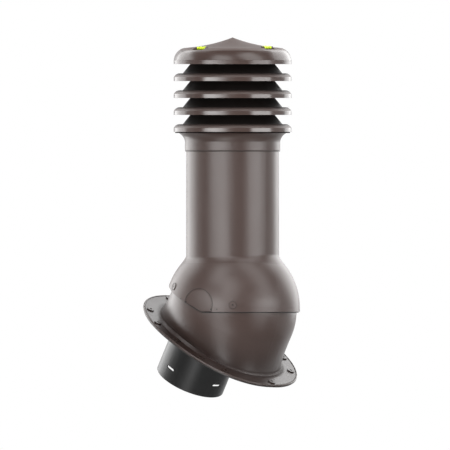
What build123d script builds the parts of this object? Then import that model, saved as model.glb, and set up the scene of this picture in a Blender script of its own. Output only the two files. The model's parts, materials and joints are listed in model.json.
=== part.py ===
from build123d import *
import os
from math import asin, cos, degrees, radians, sin, sqrt

# A roof vent: a flanged ball base for a sloping roof, a domed pipe that tilts on the ball, and a louvred hood
# Millimetres and degrees. +Z is up along the pipe and +X is down the roof
# The origin is the middle of the base on the roof face, on the axis of the base

# Roof and tilting joint
roof_pitch = 30.0
joint_height = 63.5

# Ball base: ball, oval foot and flange in one moulding
ball_radius = 110.9
ball_wall = 3.0
ball_mouth_radius = 68.0
foot_half_length = 124.0
foot_half_width = 92.0
foot_fillet = 6.0
flange_half_length = 156.3
flange_half_width = 120.2
flange_thickness = 3.0
flange_edge_round = 1.2
oval_power = 2.25

# Screw bosses on the flange
boss_radius = 6.5
boss_height = 2.0
boss_hole_radius = 2.2
boss_inset = 12.0
boss_angles = (0.0, 45.0, 68.0, 90.0)

# Gasket under the flange
gasket_thickness = 1.5
gasket_inset = 1.0
gasket_hole_gap = 0.3

# Spigot adapter that closes the base and carries the duct
adapter_low = 3.0
adapter_thickness = 3.0
adapter_gap = 0.5
adapter_seal_thickness = 1.5
shelf_width = 12.0
shelf_thickness = 3.0
shelf_boss_radius = 4.5
shelf_boss_height = 9.0
spigot_radius = 61.0
spigot_wall = 2.5
spigot_offset = 30.0
spigot_depth = 92.0
spigot_root_fillet = 3.0
slot_count = 4
slot_length = 18.0
slot_height = 4.0
slot_above_end = 23.5

# Small screws that hold the adapter
screw_radius = 2.0
screw_gap = 0.3
screw_head_radius = 3.6
screw_head_height = 2.2
screw_angles = (0.0, 60.0, 120.0, 180.0, 240.0, 300.0)

# Domed pipe: dome and pipe in one moulding
dome_standoff = 5.5
dome_rise = 6.4
dome_wall = 3.0
dome_yaw = 13.4
rim_drop = 2.0
rim_slope = 25.0
rim_hinge = 7.6
neck_fillet = 2.5
pipe_radius = 80.2
pipe_draft = 0.3
pipe_wall = 2.5
pipe_end_drop = 9.5

# Round flats and lock screw bosses on the dome
flat_radius = 28.2
flat_rise = 2.0
flat_pad_margin = 3.0
flat_pad_gap = 0.6
seat_gap = 0.3
lock_boss_radius = 6.4
lock_boss_height = 0.6
lock_hole_radius = 1.6
lock_low = (58.4, 10.1)
lock_high = (124.4, 42.0)

# Sliding seal between the dome and the ball
seal_inner_radius = 80.6
seal_outer_radius = 87.0

# Hood: a lipped base, three louvre rings and a cap, at an even pitch
hood_pitch = 29.3
hood_base_height = 309.5
lip_radius = 101.7
lip_wall = 2.5
lip_height = 13.2
lip_shoulder = 10.0
ledge_inner_radius = 83.5
ring_count = 3

# Collar of the hood base
collar_wall = 2.0
collar_gap = 0.2
collar_bottom = 31.7
flare_start = 17.0
flare_mid = (88.5, -5.2)
flare_end = (99.7, 0.0)
pipe_stop_width = 3.0
pipe_stop_height = 2.5

# Spacer bosses and the rods that tie the hood together
tie_count = 4
tie_circle_radius = 62.0
tie_turn = 48.0
tie_boss_radius = 5.0
tie_rod_radius = 2.0
tie_rod_gap = 0.3
tie_rod_bite = 12.0
tie_head_radius = 4.0
tie_head_height = 2.6
ear_width = 10.0
cap_boss_roof = 1.5

# Deflector cones between the lips
cone_foot_radius = 86.3
cone_top_radius = 69.5
cone_top_height = 34.0
cone_wall = 1.5

# Cap
apex_height = 46.3
cap_mid = (41.5, 33.9)
cap_brim = (77.0, 28.7)
cap_shoulder_start = (84.5, 27.8)
cap_shoulder_mid = (96.4, 20.6)
cap_band_top = 7.0
cap_wall = 2.5
cap_yaw = 3.1

# Level vials in two pockets of the cap
vial_radius = 2.75
vial_length = 19.0
vial_circle_radius = 80.0
vial_heights = (27.6, 29.0)
vial_angles = (-90.0, 0.0)
vial_end_wall = 2.4
vial_end_reach = 3.4
pocket_clearance = 0.4
pocket_reach = 22.0
pocket_floor = 2.0

# Ways to align a block: standing on its frame, hanging under it, or standing and reaching outwards
low = (Align.CENTER, Align.CENTER, Align.MIN)
high = (Align.CENTER, Align.CENTER, Align.MAX)
corner = (Align.MIN, Align.CENTER, Align.MIN)

# Frames and sizes that follow from the values above
joint_centre = Vector(joint_height * sin(radians(roof_pitch)), 0, joint_height * cos(radians(roof_pitch)))
roof_frame = Location((0, 0, 0), (0, roof_pitch, 0))
stack_frame = Location(joint_centre)
flange_top = gasket_thickness + flange_thickness
shelf_low = adapter_low + adapter_thickness + adapter_seal_thickness
shelf_screw_length = adapter_thickness + adapter_seal_thickness + shelf_thickness + shelf_boss_height - 1.5
ear_low = lip_height - lip_wall
cap_height = hood_base_height + (ring_count + 1) * hood_pitch
pipe_top = hood_base_height - pipe_end_drop
dome_radius = ball_radius + dome_standoff
dome_inner_radius = dome_radius - dome_wall
seat_radius = ball_radius + seat_gap


def turned(outline):
    """Revolve a closed outline of (radius, height) edges about the Z axis."""
    return revolve(Plane.XZ * make_face(outline), Axis.Z)


def ring(inner_radius, outer_radius, height):
    """Flat ring standing on the XY plane."""
    return Cylinder(outer_radius, height, align=low) - Cylinder(inner_radius, height, align=low)


def oval_point(half_length, half_width, angle, power=oval_power):
    """Point of the superellipse |x/a|^n + |y/b|^n = 1 at a parametric angle."""
    c = cos(radians(angle))
    s = sin(radians(angle))
    x = half_length * abs(c) ** (2 / power) * (1 if c > 0 else -1)
    y = half_width * abs(s) ** (2 / power) * (1 if s > 0 else -1)
    return x, y


def oval(half_length, half_width, power=oval_power):
    """Closed superellipse wire in the XY plane, as one periodic spline."""
    if power == 2 and half_length == half_width:
        return Wire([Edge.make_circle(half_length)])
    steps = 24
    points = [oval_point(half_length, half_width, k * 360 / steps, power) for k in range(steps)]
    return Wire([Spline(*points, periodic=True)])


def oval_plate(half_length, half_width, thickness, power=oval_power):
    """Oval plate standing on the XY plane."""
    return extrude(Face(oval(half_length, half_width, power)), thickness)


def skirt_size(height):
    """Half length, half width and power of the skirt's outer section at a height over the roof."""
    share = (joint_height - height) / (joint_height - gasket_thickness)
    half_length = ball_radius + (foot_half_length - ball_radius) * share**2.5
    half_width = ball_radius - (ball_radius - foot_half_width) * share**2
    return half_length, half_width, 2 + (oval_power - 2) * share**3


def skirt(wall):
    """Solid skirt from the ball's equator down to the oval foot, drawn in by a wall."""
    sections = []
    for share in (0.0, 0.3, 0.65, 1.0):
        height = joint_height + (gasket_thickness - joint_height) * share
        half_length, half_width, power = skirt_size(height)
        sections.append(Pos(0, 0, height) * oval(half_length - wall, half_width - wall, power))
    return Solid.make_loft(sections)


def inside_skirt(inset, base, thickness):
    """Oval plate that clears the skirt's inner face by an inset, from a base height up."""
    half_length, _, power = skirt_size(base + thickness)
    _, half_width, _ = skirt_size(base)
    wall = ball_wall + inset
    return Pos(0, 0, base) * oval_plate(half_length - wall, half_width - wall, thickness, power)


def ball_block(wall):
    """Ball above its equator with the skirt below, drawn in by a wall."""
    ball = Pos(0, 0, joint_height) * Sphere(ball_radius - wall)
    above = Pos(0, 0, joint_height) * Box(4 * ball_radius, 4 * ball_radius, 2 * ball_radius, align=low)
    return (ball & above) + skirt(wall)


def flange_boss_places():
    """Places of the screw bosses, on an oval a little inside the flange."""
    places = set()
    for angle in boss_angles:
        x, y = oval_point(flange_half_length - boss_inset, flange_half_width - boss_inset, angle)
        if angle == 90.0:
            x = 0.0
        if angle == 0.0:
            y = 0.0
        places.update({(x, y), (-x, y), (x, -y), (-x, -y)})
    return sorted(places)


def shelf_screw_places():
    """Places of the adapter's screws, in the middle of the shelf."""
    half_length, half_width, power = skirt_size(shelf_low)
    inset = ball_wall + shelf_width / 2
    return [oval_point(half_length - inset, half_width - inset, angle, power) for angle in screw_angles]


def make_ball_base():
    flange = Pos(0, 0, gasket_thickness) * oval_plate(flange_half_length, flange_half_width, flange_thickness)
    flange = fillet(flange.edges().group_by(Axis.Z)[-1], flange_edge_round)
    body = ball_block(0) + flange
    top_edges = body.edges().filter_by_position(Axis.Z, flange_top - 0.01, flange_top + 0.01)
    body = fillet(top_edges.sort_by(SortBy.LENGTH)[0], foot_fillet)
    bosses = [Pos(x, y, gasket_thickness) * Cylinder(boss_radius, flange_thickness + boss_height, align=low)
              for x, y in flange_boss_places()]
    body = body + bosses - ball_block(ball_wall)
    shelf = inside_skirt(-ball_wall / 2, shelf_low, shelf_thickness)
    shelf -= inside_skirt(shelf_width, shelf_low, shelf_thickness)
    shelf_bosses = [Pos(x, y, shelf_low) * Cylinder(shelf_boss_radius, shelf_thickness + shelf_boss_height, align=low)
                    for x, y in shelf_screw_places()]
    body = body + [shelf + shelf_bosses]
    holes = [Pos(x, y, shelf_low) * Cylinder(screw_radius, shelf_screw_length, align=low)
             for x, y in shelf_screw_places()]
    holes += [Pos(x, y, 0) * Cylinder(boss_hole_radius, 4 * flange_top, align=low) for x, y in flange_boss_places()]
    mouth = Pos(0, 0, joint_height) * Rot(0, -roof_pitch, 0) * Cylinder(ball_mouth_radius, 2 * ball_radius, align=low)
    return roof_frame * (body - (holes + [mouth]))


def make_roof_gasket():
    outer = oval_plate(flange_half_length - gasket_inset, flange_half_width - gasket_inset, gasket_thickness)
    body = outer - oval_plate(foot_half_length - ball_wall, foot_half_width - ball_wall, gasket_thickness)
    holes = [Pos(x, y, 0) * Cylinder(boss_hole_radius + gasket_hole_gap, gasket_thickness, align=low)
             for x, y in flange_boss_places()]
    return roof_frame * (body - holes)


def make_spigot_adapter():
    plate = inside_skirt(adapter_gap, adapter_low, adapter_thickness)
    tube_low = Pos(-spigot_offset, 0, -spigot_depth)
    tube = tube_low * Cylinder(spigot_radius, spigot_depth + adapter_low, align=low)
    body = plate + tube
    root = body.edges().filter_by(GeomType.CIRCLE).filter_by_position(Axis.Z, adapter_low - 0.01, adapter_low + 0.01)
    body = fillet(root, spigot_root_fillet)
    body -= tube_low * Cylinder(spigot_radius - spigot_wall, 2 * spigot_depth, align=low)
    slot = extrude(Plane.YZ * SlotOverall(slot_length, slot_height), 2 * spigot_wall, both=True)
    for k in range(slot_count):
        turn = Rot(0, 0, k * 360 / slot_count)
        place = tube_low * turn * Pos(spigot_radius - spigot_wall / 2, 0, slot_above_end)
        body -= place * slot
    for x, y in shelf_screw_places():
        body -= Pos(x, y, 0) * Cylinder(screw_radius + screw_gap, 4 * adapter_thickness, align=low)
    return roof_frame * body


def make_adapter_seal():
    base = adapter_low + adapter_thickness
    body = inside_skirt(adapter_gap, base, adapter_seal_thickness)
    body -= inside_skirt(shelf_width, base, adapter_seal_thickness)
    for x, y in shelf_screw_places():
        body -= Pos(x, y, base) * Cylinder(screw_radius + screw_gap, adapter_seal_thickness, align=low)
    return roof_frame * body


def make_adapter_screws():
    screws = []
    for x, y in shelf_screw_places():
        head = Cylinder(screw_head_radius, screw_head_height, align=high)
        head -= Pos(0, 0, -screw_head_height) * Box(4 * screw_radius, 1.0, 1.2, align=low)
        shank = Cylinder(screw_radius, shelf_screw_length - 1, align=low)
        screws.append(roof_frame * Pos(x, y, adapter_low) * (head + shank))
    return Compound(children=screws)


def rim_trim():
    """Block below the dome's rim: level down the roof and rising up the roof."""
    size = 4 * dome_radius
    level = Pos(0, 0, -rim_drop) * Box(size, size, size, align=high)
    rising = Pos(rim_hinge, 0, -rim_drop) * Rot(0, rim_slope, 0)
    rising = rising * Box(size, size, size, align=(Align.MAX, Align.CENTER, Align.MAX))
    return Rot(0, 0, dome_yaw) * (level + rising)


def dome_normal(angle, height):
    """Frame on the dome's outer face, at an angle from the dome's own heading and a height over the joint."""
    lean = degrees(asin((height - dome_rise) / dome_radius))
    return Pos(0, 0, dome_rise) * Rot(0, 0, dome_yaw + angle) * Rot(0, 90 - lean, 0)


def make_domed_pipe():
    pipe_foot = dome_rise + sqrt(dome_radius**2 - (pipe_radius + pipe_draft) ** 2)
    crown = sqrt(dome_radius**2 / 2)
    outline = Line((0, -rim_drop), (dome_radius, -rim_drop))
    outline += Line((dome_radius, -rim_drop), (dome_radius, dome_rise))
    outline += ThreePointArc((dome_radius, dome_rise), (crown, dome_rise + crown),
                             (pipe_radius + pipe_draft, pipe_foot))
    outline += Line((pipe_radius + pipe_draft, pipe_foot), (pipe_radius, pipe_top))
    outline += Line((pipe_radius, pipe_top), (0, pipe_top))
    outline += Line((0, pipe_top), (0, -rim_drop))
    body = turned(outline)
    neck = body.edges().filter_by(GeomType.CIRCLE).filter_by_position(Axis.Z, pipe_foot - 0.01, pipe_foot + 0.01)
    body = fillet(neck, neck_fillet)
    for side in (1, -1):
        for angle, height in (lock_low, lock_high):
            boss = dome_normal(side * angle, height) * Cylinder(lock_boss_radius, dome_radius + lock_boss_height,
                                                                align=low)
            body += boss
        flat_distance = sqrt(dome_radius**2 - flat_radius**2)
        flat = Pos(0, 0, dome_rise) * Rot(0, 0, dome_yaw + side * 90) * Rot(0, 90 - flat_rise, 0)
        body -= flat * Pos(0, 0, flat_distance) * Cylinder(flat_radius, dome_radius, align=low)
    hollow = Pos(0, 0, dome_rise) * Sphere(dome_inner_radius)
    hollow += Pos(0, 0, dome_rise) * Cylinder(dome_inner_radius, 2 * dome_radius, align=high)
    for side in (1, -1):
        pad = Pos(0, 0, dome_rise) * Rot(0, 0, dome_yaw + side * 90) * Rot(0, 90 - flat_rise, 0)
        thick = pad * Cylinder(flat_radius + flat_pad_margin, 2 * dome_radius, align=low)
        hollow -= thick - Sphere(ball_radius + flat_pad_gap)
    hollow += Cylinder(pipe_radius - pipe_wall, 2 * pipe_top, align=low)
    body -= hollow
    for side in (1, -1):
        for angle, height in (lock_low, lock_high):
            body -= dome_normal(side * angle, height) * Cylinder(lock_hole_radius, 2 * dome_radius, align=low)
    body -= rim_trim()
    return stack_frame * body


def make_ball_seal():
    body = Pos(0, 0, dome_rise) * Sphere(dome_inner_radius) - Sphere(seat_radius)
    body = body & ring(seal_inner_radius, seal_outer_radius, 2 * dome_radius)
    return stack_frame * body


def lip_outline(bottom_inner_edges):
    """Lip of a louvre: shoulder and ledge outside, the same drawn in by the wall inside."""
    centre = lip_radius - lip_shoulder
    base = lip_height - lip_shoulder
    outer = lip_shoulder * sqrt(0.5)
    inner_shoulder = lip_shoulder - lip_wall
    inner = inner_shoulder * sqrt(0.5)
    edges = Line((lip_radius, 0), (lip_radius, base))
    edges += ThreePointArc((lip_radius, base), (centre + outer, base + outer), (centre, lip_height))
    edges += Line((centre, lip_height), (ledge_inner_radius, lip_height))
    edges += Line((ledge_inner_radius, lip_height), (ledge_inner_radius, ear_low))
    edges += Line((ledge_inner_radius, ear_low), (centre, ear_low))
    edges += ThreePointArc((centre, ear_low), (centre + inner, base + inner), (lip_radius - lip_wall, base))
    return edges + bottom_inner_edges


def tie_places():
    """Places of the tie rods around the hood."""
    return [Rot(0, 0, tie_turn + k * 360 / tie_count) * Pos(tie_circle_radius, 0, 0) for k in range(tie_count)]


def ears_and_bosses():
    """Ears from the ledge to the rods, each with a spacer boss that carries the next piece up."""
    reach = ledge_inner_radius + 1 - tie_circle_radius
    ear = Pos(reach / 2, 0, ear_low) * Box(reach, ear_width, lip_wall, align=low)
    boss = Pos(0, 0, ear_low) * Cylinder(tie_boss_radius, hood_pitch, align=low)
    return [place * (ear + boss) for place in tie_places()]


def rod_holes(radius):
    """Holes for the tie rods through ears and bosses."""
    return [place * Cylinder(radius, 2 * hood_pitch, align=low) for place in tie_places()]


def make_hood_base():
    collar_inner = pipe_radius + collar_gap
    collar_outer = collar_inner + collar_wall
    flare_inner_mid = (flare_mid[0] - collar_wall, flare_mid[1] + collar_wall)
    inner = Line((lip_radius - lip_wall, lip_height - lip_shoulder), (lip_radius - lip_wall, lip_wall))
    inner += ThreePointArc((lip_radius - lip_wall, lip_wall), flare_inner_mid, (collar_inner, -flare_start))
    inner += Line((collar_inner, -flare_start), (collar_inner, -collar_bottom))
    inner += Line((collar_inner, -collar_bottom), (collar_outer, -collar_bottom))
    inner += Line((collar_outer, -collar_bottom), (collar_outer, -flare_start))
    inner += ThreePointArc((collar_outer, -flare_start), flare_mid, flare_end)
    inner += Line(flare_end, (lip_radius, 0))
    body = turned(lip_outline(inner))
    stop_low = pipe_top - hood_base_height
    body += Pos(0, 0, stop_low) * ring(pipe_radius - pipe_stop_width, collar_outer + 1, pipe_stop_height)
    for piece in ears_and_bosses():
        body += piece
    for hole in rod_holes(tie_rod_radius + tie_rod_gap):
        body -= hole
    return stack_frame * Pos(0, 0, hood_base_height) * body


def make_louvre_ring(height):
    bottom = Line((lip_radius - lip_wall, lip_height - lip_shoulder), (lip_radius - lip_wall, 0))
    bottom += Line((lip_radius - lip_wall, 0), (lip_radius, 0))
    body = turned(lip_outline(bottom))
    for piece in ears_and_bosses():
        body += piece
    for hole in rod_holes(tie_rod_radius + tie_rod_gap):
        body -= hole
    return stack_frame * Pos(0, 0, height) * body


def make_deflector_cone(height):
    slant = sqrt((cone_foot_radius - cone_top_radius) ** 2 + (cone_top_height - lip_height) ** 2)
    across = cone_wall * slant / (cone_top_height - lip_height)
    points = [(cone_foot_radius, lip_height), (cone_top_radius, cone_top_height),
              (cone_top_radius - across, cone_top_height), (cone_foot_radius - across, lip_height)]
    body = turned(Polyline(*points, close=True))
    return stack_frame * Pos(0, 0, height) * body


def cap_block(wall):
    """Solid cap drawn in by a wall: a concave roof, a flat brim, a round shoulder and a short band."""
    outline = ThreePointArc((0, apex_height - wall), (cap_mid[0], cap_mid[1] - wall), (cap_brim[0], cap_brim[1] - wall))
    outline += Line((cap_brim[0], cap_brim[1] - wall), (cap_shoulder_start[0], cap_shoulder_start[1] - wall))
    shoulder_mid = (cap_shoulder_mid[0] - wall * sqrt(0.5), cap_shoulder_mid[1] - wall * sqrt(0.5))
    outline += ThreePointArc((cap_shoulder_start[0], cap_shoulder_start[1] - wall), shoulder_mid,
                             (lip_radius - wall, cap_band_top))
    outline += Polyline((lip_radius - wall, cap_band_top), (lip_radius - wall, 0), (0, 0), (0, apex_height - wall))
    return turned(outline)


def make_cap():
    hollow = cap_block(cap_wall)
    for place in tie_places():
        hollow -= place * Pos(0, 0, ear_low) * Cylinder(tie_boss_radius, apex_height, align=low)
    for height, angle in zip(vial_heights, vial_angles):
        hollow -= vial_place(height, angle) * vial_tray()
    body = cap_block(0) - hollow
    for height, angle in zip(vial_heights, vial_angles):
        body -= vial_place(height, angle) * vial_pocket()
        for cradle in vial_cradles():
            body += vial_place(height, angle) * cradle
    for place in tie_places():
        body -= place * Pos(0, 0, ear_low) * Cylinder(tie_rod_radius, tie_rod_bite + cap_boss_roof, align=low)
    return stack_frame * Pos(0, 0, cap_height) * body


def vial_place(height, angle):
    """Frame at the middle of a vial: Z up, X outwards, Y along the vial."""
    return Rot(0, 0, cap_yaw + angle) * Pos(vial_circle_radius, 0, height)


def vial_pocket():
    """Space for a vial and its cradles, open outwards and upwards."""
    half = vial_radius + pocket_clearance
    width = vial_length + 2 * vial_end_wall
    return Pos(-half, 0, -half) * Box(pocket_reach, width, apex_height, align=corner)


def vial_tray():
    """Block under the cap's roof that leaves a floor and walls round a vial's pocket."""
    half = vial_radius + pocket_clearance
    width = vial_length + 2 * (vial_end_wall + cap_wall)
    tray = Box(pocket_reach + cap_wall, width, apex_height, align=corner)
    return Pos(-half - cap_wall, 0, -half - pocket_floor) * tray


def vial_cradles():
    """Two end blocks that hold a vial in its pocket."""
    half = vial_radius + pocket_clearance
    block = Box(2 * half, vial_end_wall, half + vial_end_reach / 2, align=low)
    return [Pos(0, side * (vial_length + vial_end_wall) / 2, -half) * block for side in (1, -1)]


def make_level_vial(height, angle):
    rod = Cylinder(vial_radius, vial_length)
    rod = fillet(rod.edges(), 0.8)
    return stack_frame * Pos(0, 0, cap_height) * vial_place(height, angle) * Rot(90, 0, 0) * rod


def make_tie_rods():
    length = (ring_count + 1) * hood_pitch + tie_rod_bite
    rods = []
    for place in tie_places():
        rod = Cylinder(tie_rod_radius, length, align=low)
        head = Cylinder(tie_head_radius, tie_head_height, align=high)
        rods.append(stack_frame * Pos(0, 0, hood_base_height) * place * Pos(0, 0, ear_low) * (rod + head))
    return Compound(children=rods)


def build():
    """Every piece of the vent by its name."""
    pieces = {
        "ball_base": make_ball_base(),
        "roof_gasket": make_roof_gasket(),
        "spigot_adapter": make_spigot_adapter(),
        "adapter_seal": make_adapter_seal(),
        "adapter_screws": make_adapter_screws(),
        "domed_pipe": make_domed_pipe(),
        "ball_seal": make_ball_seal(),
        "hood_base": make_hood_base(),
        "cap": make_cap(),
        "tie_rods": make_tie_rods(),
    }
    for k in range(ring_count + 1):
        height = hood_base_height + k * hood_pitch
        pieces[f"deflector_cone_{k + 1}"] = make_deflector_cone(height)
        if k > 0:
            pieces[f"louvre_ring_{k}"] = make_louvre_ring(height)
    for name, height, angle in zip(("level_vial_left", "level_vial_right"), vial_heights, vial_angles):
        pieces[name] = make_level_vial(height, angle)
    return pieces


os.makedirs("parts", exist_ok=True)
for node, shape in build().items():
    export_step(shape, f"parts/{node}.step")
    print(node, round(shape.volume / 1000, 1), "cm3")
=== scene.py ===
import json
from math import cos, pi, radians, sin, tan

import bmesh
import bpy
import numpy as np
from mathutils import Matrix

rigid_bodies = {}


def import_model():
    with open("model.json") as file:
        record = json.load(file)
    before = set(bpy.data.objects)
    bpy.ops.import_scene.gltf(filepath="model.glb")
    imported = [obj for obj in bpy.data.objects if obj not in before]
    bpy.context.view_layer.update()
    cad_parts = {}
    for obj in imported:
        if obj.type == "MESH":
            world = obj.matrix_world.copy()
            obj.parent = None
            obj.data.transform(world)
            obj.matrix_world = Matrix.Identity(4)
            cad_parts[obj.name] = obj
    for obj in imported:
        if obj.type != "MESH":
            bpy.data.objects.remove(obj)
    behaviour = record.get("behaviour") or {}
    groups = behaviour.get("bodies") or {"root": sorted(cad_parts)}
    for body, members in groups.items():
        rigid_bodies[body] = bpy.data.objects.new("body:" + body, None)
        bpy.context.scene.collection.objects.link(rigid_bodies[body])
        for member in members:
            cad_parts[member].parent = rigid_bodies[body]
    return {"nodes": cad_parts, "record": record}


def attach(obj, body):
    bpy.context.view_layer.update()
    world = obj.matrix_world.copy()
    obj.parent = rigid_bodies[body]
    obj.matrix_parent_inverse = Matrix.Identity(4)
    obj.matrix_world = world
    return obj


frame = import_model()
nodes = frame["nodes"]
for other in [o for o in bpy.data.objects if o.name in ("Cube", "Light", "Camera")]:
    bpy.data.objects.remove(other)
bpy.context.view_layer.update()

# Metres and radians. +Z is up along the pipe, +X is down the roof, and the camera looks across at 45 degrees
roof_pitch = radians(30)
joint_height = 0.0635
joint = np.array([joint_height * sin(roof_pitch), 0.0, joint_height * cos(roof_pitch)])

# Sizes shared with the solids
hood_base_height = 0.3095
hood_pitch = 0.0293
lip_count = 4
cap_height = hood_base_height + lip_count * hood_pitch
cap_yaw = radians(3.1)
cap_band_top = 0.007
dome_radius = 0.1164
dome_rise = 0.0064
dome_yaw = radians(13.4)
flange_half_length = 0.1563
flange_half_width = 0.1202
flange_top = 0.0045
foot_half_length = 0.124
foot_half_width = 0.092
foot_fillet = 0.006
oval_power = 2.25
lip_radius = 0.1017
disc_radius = 0.0282
disc_lean = radians(2)
rim_drop = 0.002
rim_hinge = 0.0076
rim_slope = radians(25)
lock_places = ((radians(58.4), 0.0101), (radians(124.4), 0.0420))
lock_boss_radius = 0.0064
lock_boss_height = 0.0006
lock_hole_radius = 0.0016
neck_radius = 0.0805
vial_circle_radius = 0.080
vial_radius = 0.00275
vial_heights = (0.0276, 0.0290)

# Sizes of the details that only the scene has
disc_bulge = 0.0017
rim_margin = 0.0006
# Dark bead of painted shade along the disc's seam
seam_radius = 0.0005
# Dark beads of painted shadow under the hood base's lip and at its collar's lower edge
lip_shadow_radius = 0.0985
lip_shadow_bead = 0.0010
collar_radius = 0.0812
collar_bottom = 0.0317
collar_shadow_bead = 0.0011
# Dark dots of painted shade in the notches at the clips
clip_radius = 0.0013
clip_rise = 0.0004
clip_places = ((radians(12.5), 0.0026), (radians(18.0), 0.0026), (radians(-12.6), 0.0156),
               (radians(-19.4), 0.0209))
# Dark strip of painted shade in the gap under the dome's rim
rim_shade_inner = 0.1127
rim_shade_room = 0.0017
rim_shade_room_height = 0.030
rim_shade_outer = 0.1145
rim_shade_taper = 0.0006
rim_shade_height = 0.0013
neck_least = 0.0026
neck_rise = 0.00008
neck_climb = 0.0042
neck_reach = 0.0055
neck_wide_azimuth = radians(-90)
bead_inset = 0.0016
bead_sink = 0.0003
bead_radius = 0.0010
# Dark line of painted shade inside the flange's bead; groove_radius is also the dark rings of painted shade round
# the lock bosses
groove_inset = 0.0031
groove_radius = 0.00035
vial_line_offset = 0.0036
vial_line_radius = 0.00022
bubble_half_length = 0.0028
bubble_radius = 0.0014
bubble_lift = 0.0017
skin_rise = 0.0003
skin_radius = lip_radius + skin_rise
skin_under = 0.0012
edge_hold = 0.0002
lip_band_top = 0.0068
lip_shoulder = (0.0100, 0.0066)
lip_tilt = radians(30)

# How finely the new surfaces are cut
merge_distance = 1e-7
lathe_steps = 192
bead_steps = 12
button_steps = 48
shoulder_steps = 24
rise_steps = 13
reach_steps = 101
neck_steps = 16
bubble_steps = 17
wall_steps = 48


# Surfaces from arrays

def surface(name, grid, material, body, close_v=True):
    """Mesh object from a grid of points, rows closed along u, with its poles merged and its faces outward."""
    rows, columns = grid.shape[:2]
    u = np.arange(rows)
    v = np.arange(columns if close_v else columns - 1)
    u, v = np.meshgrid(u, v, indexing="ij")
    after_u = (u + 1) % rows
    after_v = (v + 1) % columns
    corners = [u * columns + v, u * columns + after_v, after_u * columns + after_v, after_u * columns + v]
    faces = np.stack(corners, -1).reshape(-1, 4)
    mesh = bpy.data.meshes.new(name)
    mesh.from_pydata(grid.reshape(-1, 3).tolist(), [], faces.tolist())
    shape = bmesh.new()
    shape.from_mesh(mesh)
    bmesh.ops.remove_doubles(shape, verts=shape.verts, dist=merge_distance)
    bmesh.ops.dissolve_degenerate(shape, edges=shape.edges, dist=merge_distance)
    bmesh.ops.recalc_face_normals(shape, faces=shape.faces)
    for face in shape.faces:
        face.smooth = True
    shape.to_mesh(mesh)
    shape.free()
    mesh.materials.append(material)
    piece = bpy.data.objects.new(name, mesh)
    bpy.context.scene.collection.objects.link(piece)
    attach(piece, body)
    return piece


def full_turn(steps):
    """Angles of one full turn in even steps."""
    return np.arange(steps) * 2 * pi / steps


def lathe(name, profile, height, material, body):
    """Closed (radius, height) profile turned about the stack's axis: x = r cos a, y = r sin a, z = h."""
    angle = full_turn(lathe_steps)[:, None]
    r, h = profile[:, 0], profile[:, 1]
    grid = np.stack([r * np.cos(angle), r * np.sin(angle), np.broadcast_to(h, (lathe_steps, len(h)))], -1)
    return surface(name, grid + joint + [0, 0, height], material, body)


def bead(name, path, axis, radius, material, body):
    """Round bead along a closed path: each point plus radius times (cos t outward + sin t along the axis)."""
    tangent = np.roll(path, -1, 0) - np.roll(path, 1, 0)
    outward = np.cross(tangent, axis)
    outward /= np.linalg.norm(outward, axis=-1, keepdims=True)
    t = full_turn(bead_steps)[None, :, None]
    grid = path[:, None] + radius * (np.cos(t) * outward[:, None] + np.sin(t) * np.asarray(axis))
    return surface(name, grid, material, body)


def facing(azimuth, lean):
    """Three unit vectors: outward at an azimuth and a lean over the level, level to its side, and upward."""
    out = np.array([cos(azimuth) * cos(lean), sin(azimuth) * cos(lean), sin(lean)])
    side = np.array([-sin(azimuth), cos(azimuth), 0.0])
    return out, side, np.cross(out, side)


def button(name, centre, azimuth, lean, radius, rise, sink, material, body, reach=None):
    """Round button: a low dome of rise (1 - r^2) over a rim, cut off at a reach for each angle, with a flat
    underside sunk behind the rim."""
    out, side, up = facing(azimuth, lean)
    if reach is None:
        reach = np.ones(button_steps)
    share = reach[:, None] * np.r_[np.linspace(0, 1, rise_steps), 1.0, 0.0]
    lift = rise * (1 - share**2)
    lift[:, -2:] = -sink
    turn = full_turn(len(reach))[:, None, None]
    around = np.cos(turn) * side + np.sin(turn) * up
    grid = centre + lift[:, :, None] * out + radius * share[:, :, None] * around
    return surface(name, grid, material, body, close_v=False)


def on_roof(points):
    """Points of the roof's own frame, turned by the roof's slope about the Y axis."""
    x, y, z = points[..., 0], points[..., 1], points[..., 2]
    return np.stack([x * cos(roof_pitch) + z * sin(roof_pitch), y,
                     z * cos(roof_pitch) - x * sin(roof_pitch)], -1)


# Finishes

def new_group(name, outputs, inputs=()):
    """Node group with plain number sockets, and its output node."""
    group = bpy.data.node_groups.new(name, "ShaderNodeTree")
    for direction, sockets in (("INPUT", inputs), ("OUTPUT", outputs)):
        for socket in sockets:
            group.interface.new_socket(socket, in_out=direction, socket_type="NodeSocketFloat")
    return group, group.nodes.new("NodeGroupOutput")


def maths(tree, operation, *values):
    """Output of a math node, each value a socket or a number."""
    node = tree.nodes.new("ShaderNodeMath")
    node.operation = operation
    for socket, value in zip(node.inputs, values):
        if isinstance(value, float):
            socket.default_value = value
        else:
            tree.links.new(value, socket)
    return node.outputs[0]


def ramp(tree, source, ends, levels, smooth=False):
    """Output that goes from one level to the other while its source goes from one end to the other."""
    node = tree.nodes.new("ShaderNodeMapRange")
    node.interpolation_type = "SMOOTHSTEP" if smooth else "LINEAR"
    for word, end, level in zip(("Min", "Max"), ends, levels):
        node.inputs[f"From {word}"].default_value = end
        node.inputs[f"To {word}"].default_value = level
    tree.links.new(source, node.inputs["Value"])
    return node.outputs["Result"]


def height_in(tree):
    """Height of a point in the part's own frame."""
    parts = tree.nodes.new("ShaderNodeSeparateXYZ")
    tree.links.new(tree.nodes.new("ShaderNodeTexCoord").outputs["Object"], parts.inputs["Vector"])
    return parts.outputs["Z"]


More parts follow.
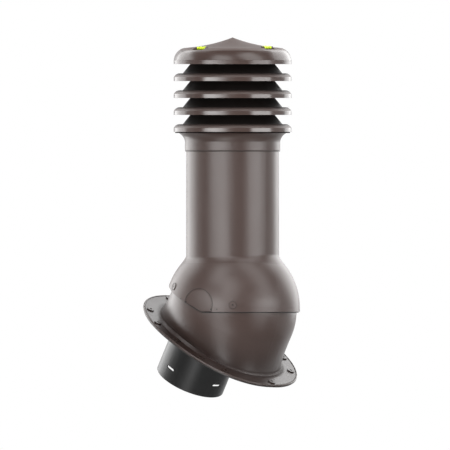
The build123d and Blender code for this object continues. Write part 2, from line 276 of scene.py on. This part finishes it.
def grain_group():
    """Fine moulding grain on Object coordinates: two noises, one for height and one for slow change of tone."""
    group, outside = new_group("moulding_grain", ("Height", "Tone"), ("Grain Scale", "Tone Scale"))
    inside = group.nodes.new("NodeGroupInput")
    place = group.nodes.new("ShaderNodeTexCoord")
    for source, target, detail in (("Grain Scale", "Height", 3.0), ("Tone Scale", "Tone", 2.0)):
        noise = group.nodes.new("ShaderNodeTexNoise")
        noise.inputs["Detail"].default_value = detail
        group.links.new(place.outputs["Object"], noise.inputs["Vector"])
        group.links.new(inside.outputs[source], noise.inputs["Scale"])
        group.links.new(noise.outputs["Fac"], outside.inputs[target])
    return group


def corner_group():
    """Masks that grow from 0 to 1: Shade with the height over the flange, which paints shade on the lower body and
    the flange, darker towards the flange, and Corner away from the foot's corner.
    Height dips as t - t^2 / 2 towards the middle of the fillet, which makes it look tighter."""
    group, outside = new_group("foot_corner", ("Shade", "Corner", "Height"))
    place = group.nodes.new("ShaderNodeTexCoord").outputs["Object"]

    def along(direction):
        node = group.nodes.new("ShaderNodeVectorMath")
        node.operation = "DOT_PRODUCT"
        node.inputs[1].default_value = direction
        group.links.new(place, node.inputs[0])
        return node.outputs["Value"]

    down_roof = along((cos(roof_pitch) / foot_half_length, 0, -sin(roof_pitch) / foot_half_length))
    across_roof = along((0, 1 / foot_half_width, 0))
    length = maths(group, "POWER", maths(group, "ABSOLUTE", down_roof), oval_power)
    width = maths(group, "POWER", maths(group, "ABSOLUTE", across_roof), oval_power)
    oval = maths(group, "POWER", maths(group, "ADD", length, width), 1 / oval_power)
    outside_oval = maths(group, "MULTIPLY", maths(group, "SUBTRACT", oval, 1.0), foot_half_width)
    over_flange = maths(group, "SUBTRACT", along((sin(roof_pitch), 0, cos(roof_pitch))), flange_top)
    beside = maths(group, "MAXIMUM", outside_oval, 0.0)
    above = maths(group, "MAXIMUM", over_flange, 0.0)
    squares = [maths(group, "MULTIPLY", distance, distance) for distance in (beside, above)]
    from_corner = maths(group, "SQRT", maths(group, "ADD", *squares))
    apart = maths(group, "ABSOLUTE", maths(group, "SUBTRACT", above, beside))
    t = maths(group, "MINIMUM", maths(group, "DIVIDE", apart, foot_fillet), 1.0)
    half_square = maths(group, "MULTIPLY", maths(group, "MULTIPLY", t, t), 0.5)
    group.links.new(maths(group, "SUBTRACT", t, half_square), outside.inputs["Height"])
    for target, source, ends in (("Shade", above, shade_heights), ("Corner", from_corner, corner_distances)):
        group.links.new(ramp(group, source, ends, (0.0, 1.0), smooth=True), outside.inputs[target])
    return group


def crease_group():
    """Height that bends the cap's shoulder over its band: it falls as t - t^2 / 2 from the band's top edge up.
    Shade and Corner are masks from 1 on the shoulder to 0 on the cap's roof; through Shade the cap's material
    paints its roof lighter, as painted light."""
    group, outside = new_group("cap_crease", ("Shade", "Corner", "Height"))
    height = height_in(group)
    edge = joint[2] + cap_height
    climb = ramp(group, height, (edge + cap_band_top, edge + cap_band_top + crease_reach), (0.0, 1.0))
    fall = maths(group, "MULTIPLY", climb, maths(group, "MULTIPLY_ADD", climb, 0.5, -1.0))
    group.links.new(fall, outside.inputs["Height"])
    mask = ramp(group, height, (edge + roof_heights[0], edge + roof_heights[1]), (1.0, 0.0), smooth=True)
    for target in ("Shade", "Corner"):
        group.links.new(mask, outside.inputs[target])
    return group


def ledge_group():
    """Masks from 1 on a lip's band to 0 on its ledge, from the height over the lip's lower edge. Shade paints
    shade on the ledges between the lips.
    """
    group, outside = new_group("lip_ledge", ("Shade", "Corner"))
    over_base = maths(group, "SUBTRACT", height_in(group), joint[2] + hood_base_height)
    over_lip = maths(group, "FLOORED_MODULO", over_base, hood_pitch)
    for target, ends in (("Shade", ledge_heights), ("Corner", band_heights)):
        group.links.new(ramp(group, over_lip, ends, (1.0, 0.0), smooth=True), outside.inputs[target])
    return group


# Where each mask starts and ends, and how far each bend reaches
ledge_heights = (0.0085, 0.0125)
band_heights = (0.0068, 0.0074)
crease_reach = 0.018
crease_tilt = radians(28)
roof_heights = (0.0225, 0.0255)
# Painted shade on the base fades out between these heights over the flange
shade_heights = (0.001, 0.058)
corner_distances = (0.002, 0.008)
corner_depth = 0.0038
corner_roughness = 0.5
tone_scale = 14.0
grain_strength = 0.5
lip_ledge = ledge_group()
cap_crease = crease_group()
moulding_grain = grain_group()
foot_corner = corner_group()


def moulded(name, colour, roughness, spread=0.05, tone=0.06, grain=1800.0, depth=0.00003, ior=1.5,
            corner=None, share=0.5, bend=None):
    """Moulded plastic or rubber: its roughness drifts by a spread and its colour by a tone, and its skin has a
    grain with a depth.
    Where the masks of a corner group are 0, it has a share of its colour and is duller: the share is painted shade
    where it is under 1 and painted light where it is over 1. A bend is a group, whose Height bends the normals,
    and a distance."""
    material = bpy.data.materials.new(name)
    material.use_nodes = True
    tree = material.node_tree
    shader = tree.nodes["Principled BSDF"]
    shader.inputs["IOR"].default_value = ior
    grain_node = tree.nodes.new("ShaderNodeGroup")
    grain_node.node_tree = moulding_grain
    grain_node.inputs["Grain Scale"].default_value = grain
    grain_node.inputs["Tone Scale"].default_value = tone_scale
    drift = grain_node.outputs["Tone"]
    colours = tree.nodes.new("ShaderNodeMix")
    colours.data_type = "RGBA"
    colours.inputs["A"].default_value = [c * (1 - tone) for c in colour] + [1]
    colours.inputs["B"].default_value = [c * (1 + tone) for c in colour] + [1]
    tree.links.new(drift, colours.inputs["Factor"])
    colour_out = colours.outputs["Result"]
    rough_out = ramp(tree, drift, (0.0, 1.0), (roughness - spread, roughness + spread))
    if corner:
        masks = tree.nodes.new("ShaderNodeGroup")
        masks.node_tree = corner
        # Painted shade where share is under 1, painted light where it is over 1: where Shade is 0 the colour
        # becomes its share
        shaded = tree.nodes.new("ShaderNodeMix")
        shaded.data_type = "RGBA"
        shaded.inputs["A"].default_value = [c * share for c in colour] + [1]
        tree.links.new(masks.outputs["Shade"], shaded.inputs["Factor"])
        tree.links.new(colour_out, shaded.inputs["B"])
        colour_out = shaded.outputs["Result"]
        duller = tree.nodes.new("ShaderNodeMix")
        duller.inputs["A"].default_value = corner_roughness
        tree.links.new(masks.outputs["Corner"], duller.inputs["Factor"])
        tree.links.new(rough_out, duller.inputs["B"])
        rough_out = duller.outputs["Result"]
    tree.links.new(colour_out, shader.inputs["Base Color"])
    tree.links.new(rough_out, shader.inputs["Roughness"])
    bump = tree.nodes.new("ShaderNodeBump")
    bump.inputs["Strength"].default_value = grain_strength
    bump.inputs["Distance"].default_value = depth
    tree.links.new(grain_node.outputs["Height"], bump.inputs["Height"])
    if bend:
        bent = tree.nodes.new("ShaderNodeGroup")
        bent.node_tree = bend[0]
        bender = tree.nodes.new("ShaderNodeBump")
        bender.inputs["Distance"].default_value = bend[1]
        tree.links.new(bent.outputs["Height"], bender.inputs["Height"])
        tree.links.new(bender.outputs["Normal"], bump.inputs["Normal"])
    tree.links.new(bump.outputs["Normal"], shader.inputs["Normal"])
    return material


plastic_brown = (0.047, 0.029, 0.0245)
near_black = (0.004, 0.0025, 0.002)
brown = moulded("satin_brown", plastic_brown, roughness=0.36)
# Painted shade: darker towards the flange on the lower body and the flange
base_brown = moulded("base_brown", plastic_brown, roughness=0.35, corner=foot_corner,
                     bend=(foot_corner, corner_depth))
# Painted light: the cap's roof gets 1.4 times its colour
cap_brown = moulded("cap_brown", plastic_brown, roughness=0.24, corner=cap_crease, share=1.4,
                    bend=(cap_crease, crease_reach * tan(crease_tilt)))
# Painted shade on the ledges between the lips
lip_brown = moulded("lip_brown", plastic_brown, roughness=0.18, corner=lip_ledge)
# Dark for lines and dots of painted shade at seams, notches, locks and the flange, and for the printed lines on
# the vials
shade_and_print_dark = moulded("shade_and_print_dark", (0.010, 0.007, 0.006), roughness=0.6, grain=900.0)
# Dark materials of the painted shadow lines under the lip and the collar
lip_shadow_dark = moulded("lip_shadow_dark", near_black, roughness=0.7, grain=900.0, ior=1.15)
collar_shadow_brown = moulded("collar_shadow_brown", (0.030, 0.019, 0.016), roughness=0.5, grain=900.0)
cone_black = moulded("cone_black", near_black, roughness=0.55, ior=1.3)
spigot_black = moulded("spigot_black", (0.008, 0.008, 0.008), roughness=0.36, ior=1.42)
rubber = moulded("seal_rubber", (0.012, 0.012, 0.012), roughness=0.6, grain=900.0)
steel = moulded("zinc_steel", (0.55, 0.55, 0.56), roughness=0.3, tone=0.04, grain=2500.0)
steel.node_tree.nodes["Principled BSDF"].inputs["Metallic"].default_value = 1.0
vial_yellow = moulded("vial_yellow", (0.62, 0.80, 0.03), roughness=0.12, spread=0.02, tone=0.03, grain=400.0,
                      depth=0.00001)
bubble_pale = moulded("bubble_pale", (0.80, 0.90, 0.35), roughness=0.15, spread=0.02, tone=0.02, grain=400.0,
                      depth=0.00001)

finishes = {"brown_plastic": brown, "black_plastic": spigot_black, "black_rubber": rubber, "plain_steel": steel,
            "yellow_vial": vial_yellow}
for part in frame["record"]["subparts"]:
    node = nodes[part["node"]]
    node.data.materials.clear()
    node.data.materials.append(finishes[part["material_slot"]])
for k in range(lip_count):
    nodes[f"deflector_cone_{k + 1}"].data.materials[0] = cone_black
nodes["ball_base"].data.materials[0] = base_brown
nodes["cap"].data.materials[0] = cap_brown


# Skins on the lips, with a level band, a crease and a soft shoulder, and on the cap's band

def lip_profile(band_top, shoulder, tilt, under):
    """Closed profile: up the band, over the crease, and along a quarter turn from the tilt up to the ledge."""
    crease = skin_rise * 2
    reach, climb = shoulder
    band = [(skin_radius, 0.0), (skin_radius, edge_hold), (skin_radius, band_top - edge_hold),
            (skin_radius, band_top)]
    turn = np.linspace(tilt, pi / 2, shoulder_steps)
    start = skin_radius - crease, band_top + crease
    r = start[0] - (reach - crease) * (np.cos(tilt) - np.cos(turn)) / np.cos(tilt)
    h = start[1] + (climb - crease) * (np.sin(turn) - np.sin(tilt)) / (1 - np.sin(tilt))
    outer = np.concatenate([band, np.stack([r, h], -1)])
    half = shoulder_steps // 2
    inner = [(r[-1], h[-1] - under), (r[half] - under, h[half] - under), (skin_radius - under, band_top),
             (skin_radius - under, 0.0)]
    return np.concatenate([outer, inner])


lip_skin = lip_profile(lip_band_top, lip_shoulder, lip_tilt, skin_under)
for k in range(lip_count):
    lathe(f"lip_skin_{k + 1}", lip_skin, hood_base_height + k * hood_pitch, lip_brown, "stack")
band_skin = [(skin_radius, 0.0), (skin_radius, edge_hold), (skin_radius, cap_band_top - edge_hold),
             (skin_radius, cap_band_top), (lip_radius, cap_band_top + skin_rise),
             (skin_radius - skin_under, cap_band_top), (skin_radius - skin_under, 0.0)]
lathe("cap_band", np.array(band_skin), cap_height, cap_brown, "stack")


# Dark beads of painted shadow on the hood base: under its lip, and under its collar

for word, radius, drop, thick, material in (("lip", lip_shadow_radius, 0.0, lip_shadow_bead, lip_shadow_dark),
                                            ("collar", collar_radius, collar_bottom, collar_shadow_bead, collar_shadow_brown)):
    turn = full_turn(lathe_steps)[:, None]
    groove_height = [0, 0, hood_base_height - drop - thick]
    path = joint + groove_height + radius * np.concatenate([np.cos(turn), np.sin(turn), 0 * turn], 1)
    bead(f"{word}_groove", path, (0, 0, 1), thick, material, "stack")


# Disc of the dome, with dark beads and dots of painted shade at its seam, clips and locks, and a dark strip of
# painted shade under its rim

def rim_height(azimuth):
    """Height of the dome's rim over the joint: level down the roof, rising up the roof."""
    along_dome = dome_radius * np.cos(azimuth - dome_yaw)
    return -rim_drop + np.maximum(rim_hinge - along_dome, 0) * tan(rim_slope)


def reach_over_rim(middle, side, up):
    """Share of the disc's radius that stays over the rim, for each angle round the disc."""
    turn = full_turn(lathe_steps)[:, None, None]
    share = np.linspace(0, 1, reach_steps)
    points = middle + disc_radius * share[:, None] * (np.cos(turn) * side + np.sin(turn) * up)
    clear = points[..., 2] > rim_height(np.arctan2(points[..., 1], points[..., 0])) + rim_margin
    return share[clear.sum(1) - 1]


dome_middle = joint + [0, 0, dome_rise]
disc_distance = (dome_radius**2 - disc_radius**2) ** 0.5
for side, word in ((1, "far"), (-1, "near")):
    azimuth = dome_yaw + side * pi / 2
    out, level, up = facing(azimuth, disc_lean)
    middle = disc_distance * out + [0, 0, dome_rise]
    reach = reach_over_rim(middle, level, up)
    button(f"disc_{word}", joint + middle, azimuth, disc_lean, disc_radius, disc_bulge, skin_under, brown, "stack",
           reach)
    turn = full_turn(lathe_steps)[:, None]
    # Dark bead of painted shade along the disc's seam
    seam = joint + middle + disc_radius * reach[:, None] * (np.cos(turn) * level + np.sin(turn) * up)
    bead(f"disc_seam_{word}", seam, out, seam_radius, shade_and_print_dark, "stack")
    # Dark dots of painted shade in the notches at the clips
    for k, (swing, height) in enumerate(clip_places):
        heading = azimuth - side * swing
        lean = np.arcsin((height - dome_rise) / dome_radius)
        button(f"clip_{word}_{k + 1}", dome_middle + dome_radius * facing(heading, lean)[0], heading, lean,
               clip_radius, clip_rise, clip_radius, shade_and_print_dark, "stack")
    # A dark plug of painted shade over each lock hole, and a dark ring of painted shade round each lock boss
    for k, (swing, height) in enumerate(lock_places):
        heading = dome_yaw + side * swing
        lean = np.arcsin((height - dome_rise) / dome_radius)
        out, level, up = facing(heading, lean)
        top = dome_middle + (dome_radius + lock_boss_height) * out
        button(f"lock_plug_{word}_{k + 1}", top, heading, lean, lock_hole_radius, clip_rise, clip_radius,
               shade_and_print_dark, "stack")
        ring = top + lock_boss_radius * (np.cos(turn) * level + np.sin(turn) * up)
        bead(f"lock_ring_{word}_{k + 1}", ring, out, groove_radius, shade_and_print_dark, "stack")

# A dark strip in the rubber colour under the dome's rim, painted shade in the gap between dome and ball
azimuth = full_turn(lathe_steps)
rim = rim_height(azimuth)
room = rim_shade_room * np.clip((rim + rim_drop) / rim_shade_room_height, 0, 1)
section = ((rim_shade_inner, 0.0), (rim_shade_outer, 0.0), (rim_shade_outer - rim_shade_taper, -rim_shade_height),
           (rim_shade_inner, -rim_shade_height))
rows = []
for ball_distance, drop in section:
    height = rim + drop
    reach = np.sqrt((ball_distance + room)**2 - height**2)
    rows.append(np.stack([reach * np.cos(azimuth), reach * np.sin(azimuth), height], -1))
surface("dome_wiper", np.stack(rows, 1) + joint, rubber, "stack")


# Neck between dome and pipe, rising on the down-roof and the up-roof side

def neck_blend():
    """Fillet from the dome to the pipe: a quadratic curve over the corner. The corner climbs as cos 2a on the
    down-roof and the up-roof side, and the reach down the dome changes round the neck."""
    azimuth = full_turn(lathe_steps)[:, None]
    share = np.maximum(np.cos(2 * (azimuth - dome_yaw)), 0)
    wide = (1 + np.cos(azimuth - neck_wide_azimuth)) / 2
    reach = neck_least + neck_reach * np.maximum(wide, share)
    corner_height = dome_rise + (dome_radius**2 - neck_radius**2) ** 0.5 + neck_climb * share
    foot_radius = neck_radius + reach
    foot_height = dome_rise + np.sqrt(dome_radius**2 - foot_radius**2)
    t = np.linspace(0, 1, neck_steps)
    r = (1 - t) ** 2 * foot_radius + (2 * t * (1 - t) + t**2) * neck_radius
    h = (1 - t) ** 2 * foot_height + 2 * t * (1 - t) * corner_height + t**2 * (corner_height + neck_least)
    r = np.concatenate([foot_radius + skin_rise, r, np.full_like(foot_radius, neck_radius),
                        np.full_like(foot_radius, neck_radius - skin_under), foot_radius], 1)
    h = np.concatenate([foot_height - skin_rise, h, corner_height + neck_least + skin_rise,
                        corner_height + neck_least, foot_height - skin_under], 1)
    r[:, :-2] += neck_rise
    grid = np.stack([r * np.cos(azimuth), r * np.sin(azimuth), h], -1)
    surface("neck_blend", grid + joint, brown, "stack")


neck_blend()


# Bead round the flange, and a dark line of painted shade inside it

def flange_path(inset, height):
    """Superellipse inside the flange's edge: x = a |cos|^(2/n), y = b |sin|^(2/n), laid on the roof."""
    turn = full_turn(2 * lathe_steps)
    c, s = np.cos(turn), np.sin(turn)
    x = (flange_half_length - inset) * np.abs(c) ** (2 / oval_power) * np.sign(c)
    y = (flange_half_width - inset) * np.abs(s) ** (2 / oval_power) * np.sign(s)
    return on_roof(np.stack([x, y, np.full_like(x, height)], -1))


roof_normal = np.array([sin(roof_pitch), 0, cos(roof_pitch)])
bead("flange_bead", flange_path(bead_inset, flange_top - bead_sink), roof_normal, bead_radius, brown, "base")
# A dark line of painted shade just inside the bead
bead("flange_groove", flange_path(groove_inset, flange_top), roof_normal, groove_radius, shade_and_print_dark, "base")


# Rings and bubbles of the level vials

for word, angle, height in (("left", -pi / 2, vial_heights[0]), ("right", 0.0, vial_heights[1])):
    out, level, up = facing(cap_yaw + angle, 0.0)
    middle = joint + [0, 0, cap_height + height] + vial_circle_radius * out
    turn = full_turn(button_steps)[:, None]
    for k, side in enumerate((-1, 1)):
        path = middle + side * vial_line_offset * level + vial_radius * (np.cos(turn) * out + np.sin(turn) * up)
        bead(f"vial_line_{word}_{k + 1}", path, level, vial_line_radius, shade_and_print_dark, "stack")
    slide = np.linspace(0, pi, bubble_steps)[None, :, None]
    turn = turn[:, :, None]
    body = bubble_half_length * np.cos(slide) * level
    girth = bubble_radius * np.sin(slide) * (np.cos(turn) * out + np.sin(turn) * up)
    surface(f"vial_bubble_{word}", middle + bubble_lift * up + body + girth, bubble_pale, "stack",
            close_v=False)


# Floor, walls, lamps and background

def stage_piece(name, points, faces, material):
    """Part of the studio, which doesn't belong to the vent."""
    mesh = bpy.data.meshes.new(name)
    mesh.from_pydata(points, [], faces)
    mesh.materials.append(material)
    piece = bpy.data.objects.new(name, mesh)
    bpy.context.scene.collection.objects.link(piece)


def level_by_ray(tree, seen, others):
    """One level for camera, glossy and transmission rays, and another for the rays that light the vent."""
    path = tree.nodes.new("ShaderNodeLightPath")
    direct = path.outputs["Is Camera Ray"]
    for name in ("Is Glossy Ray", "Is Transmission Ray"):
        direct = maths(tree, "MAXIMUM", direct, path.outputs[name])
    return ramp(tree, direct, (0.0, 1.0), (others, seen))


def level_to_camera(tree, seen, others):
    """One level for the camera, and another for all other rays."""
    path = tree.nodes.new("ShaderNodeLightPath")
    return ramp(tree, path.outputs["Is Camera Ray"], (0.0, 1.0), (others, seen))


def make_floor():
    """Plain round floor, which glows to the camera alone and throws little light back on the vent."""
    floor = bpy.data.materials.new("pale_floor")
    floor.use_nodes = True
    tree = floor.node_tree
    shader = tree.nodes["Principled BSDF"]
    shader.inputs["Roughness"].default_value = floor_roughness
    shader.inputs["Emission Color"].default_value = white
    tree.links.new(level_by_ray(tree, floor_tone, floor_bounce), shader.inputs["Base Color"])
    tree.links.new(level_to_camera(tree, floor_glow, 0.0), shader.inputs["Emission Strength"])
    turn = full_turn(lathe_steps)
    edge = wall_radius * np.stack([np.cos(turn), np.sin(turn)], -1)
    points = np.c_[edge, np.full(lathe_steps, floor_height)]
    stage_piece("floor", points.tolist(), [tuple(range(lathe_steps))], floor)


def make_wall(name, start, stop, low, high, seen, others):
    """Part of a round wall between two azimuths from the camera, as bright as seen and as others say."""
    material = bpy.data.materials.new(name)
    material.use_nodes = True
    tree = material.node_tree
    emission = tree.nodes.new("ShaderNodeEmission")
    tree.links.new(emission.outputs["Emission"], tree.nodes["Material Output"].inputs["Surface"])
    tree.links.new(level_by_ray(tree, seen, others), emission.inputs["Strength"])
    heading = camera_azimuth + np.radians(np.linspace(start, stop, wall_steps + 1))
    edge = wall_radius * np.stack([np.sin(heading), -np.cos(heading)], -1)
    rows = [np.c_[edge, np.full(wall_steps + 1, height)] for height in (low, high)]
    k = np.arange(wall_steps)
    after = wall_steps + 1 + k
    faces = np.stack([k + 1, k, after, after + 1], -1)
    stage_piece(name, np.concatenate(rows).tolist(), faces.tolist(), material)


def make_sky():
    """Dim sky that is white to the camera alone."""
    world = bpy.data.worlds.new("studio")
    bpy.context.scene.world = world
    world.use_nodes = True
    tree = world.node_tree
    background = tree.nodes["Background"]
    background.inputs["Color"].default_value = white
    tree.links.new(level_to_camera(tree, 1.0, sky_light), background.inputs["Strength"])


def make_softbox(name, azimuth, width, height, middle, power, distance=2.4, lean=0):
    """Soft lamp at an azimuth from the camera that faces the pipe's axis. Its power is for each square metre."""
    data = bpy.data.lights.new(name, "AREA")
    data.shape = "RECTANGLE"
    data.size = 2 * distance * tan(radians(width / 2))
    data.size_y = height
    data.energy = power * data.size * data.size_y
    lamp = bpy.data.objects.new(name, data)
    heading = camera_azimuth + radians(azimuth)
    lamp.location = (joint[0] + distance * sin(heading), -distance * cos(heading), middle)
    drop = float(np.arctan2(middle - lamp_aim, distance))
    turn = Matrix.Rotation(heading, 3, "Z") @ Matrix.Rotation(pi / 2 - drop, 3, "X")
    lamp.rotation_euler = (turn @ Matrix.Rotation(radians(lean), 3, "Z")).to_euler()
    lamp.visible_camera = False
    bpy.context.scene.collection.objects.link(lamp)


camera_azimuth = radians(45)
white = (1, 1, 1, 1)
floor_height = -1.6
floor_tone = 0.4
floor_bounce = 0.1
floor_glow = 0.6
floor_roughness = 0.8
wall_radius = 4.0
wall_top = 2.2
sky_light = 0.2
lamp_aim = 0.2
make_floor()
make_sky()
make_wall("wall_behind", start=80, stop=280, low=floor_height, high=wall_top, seen=1.0, others=0.2)
make_wall("wall_in_front", start=-80, stop=80, low=0.0, high=wall_top, seen=0.45, others=0.15)
make_softbox("front_left", azimuth=-33, width=49, height=0.44, middle=0.32, power=34.0, lean=-14)
make_softbox("front_right", azimuth=58, width=42, height=0.44, middle=0.3, power=30.0)
make_softbox("left_panel", azimuth=-34, width=40, height=2.0, middle=2.4, power=11.0, distance=1.6)
make_softbox("right_panel", azimuth=61, width=34, height=3.0, middle=1.9, power=10.0, distance=1.6)
make_softbox("front_high", azimuth=-6, width=28, height=1.8, middle=1.5, power=12.0, lean=-18)
make_softbox("front_low", azimuth=-22, width=26, height=0.7, middle=-0.45, power=11.0, distance=1.0, lean=28)
make_softbox("low_right", azimuth=50, width=24, height=0.45, middle=-0.2, power=5.0, distance=1.0)
make_softbox("rim_left", azimuth=-128, width=50, height=3.4, middle=0.75, power=10.0)
make_softbox("rim_right", azimuth=140, width=50, height=5.0, middle=1.2, power=9.0, distance=3.6)
make_softbox("back_left", azimuth=-157, width=36, height=1.8, middle=3.2, power=8.0)
make_softbox("back_right", azimuth=158, width=32, height=1.8, middle=3.2, power=7.0)

# Camera: level, without perspective, at the corner of the roof
picture_width = 0.7785
picture_centre = np.array([0.0225, -0.0093, 0.2034])
camera_distance = 3.0
data = bpy.data.cameras.new("camera")
data.type = "ORTHO"
data.ortho_scale = picture_width
camera = bpy.data.objects.new("camera", data)
camera.location = picture_centre + camera_distance * np.array([sin(camera_azimuth), -cos(camera_azimuth), 0])
camera.rotation_euler = (pi / 2, 0, camera_azimuth)
bpy.context.scene.collection.objects.link(camera)
bpy.context.scene.camera = camera
bpy.context.scene.view_settings.view_transform = "Standard"
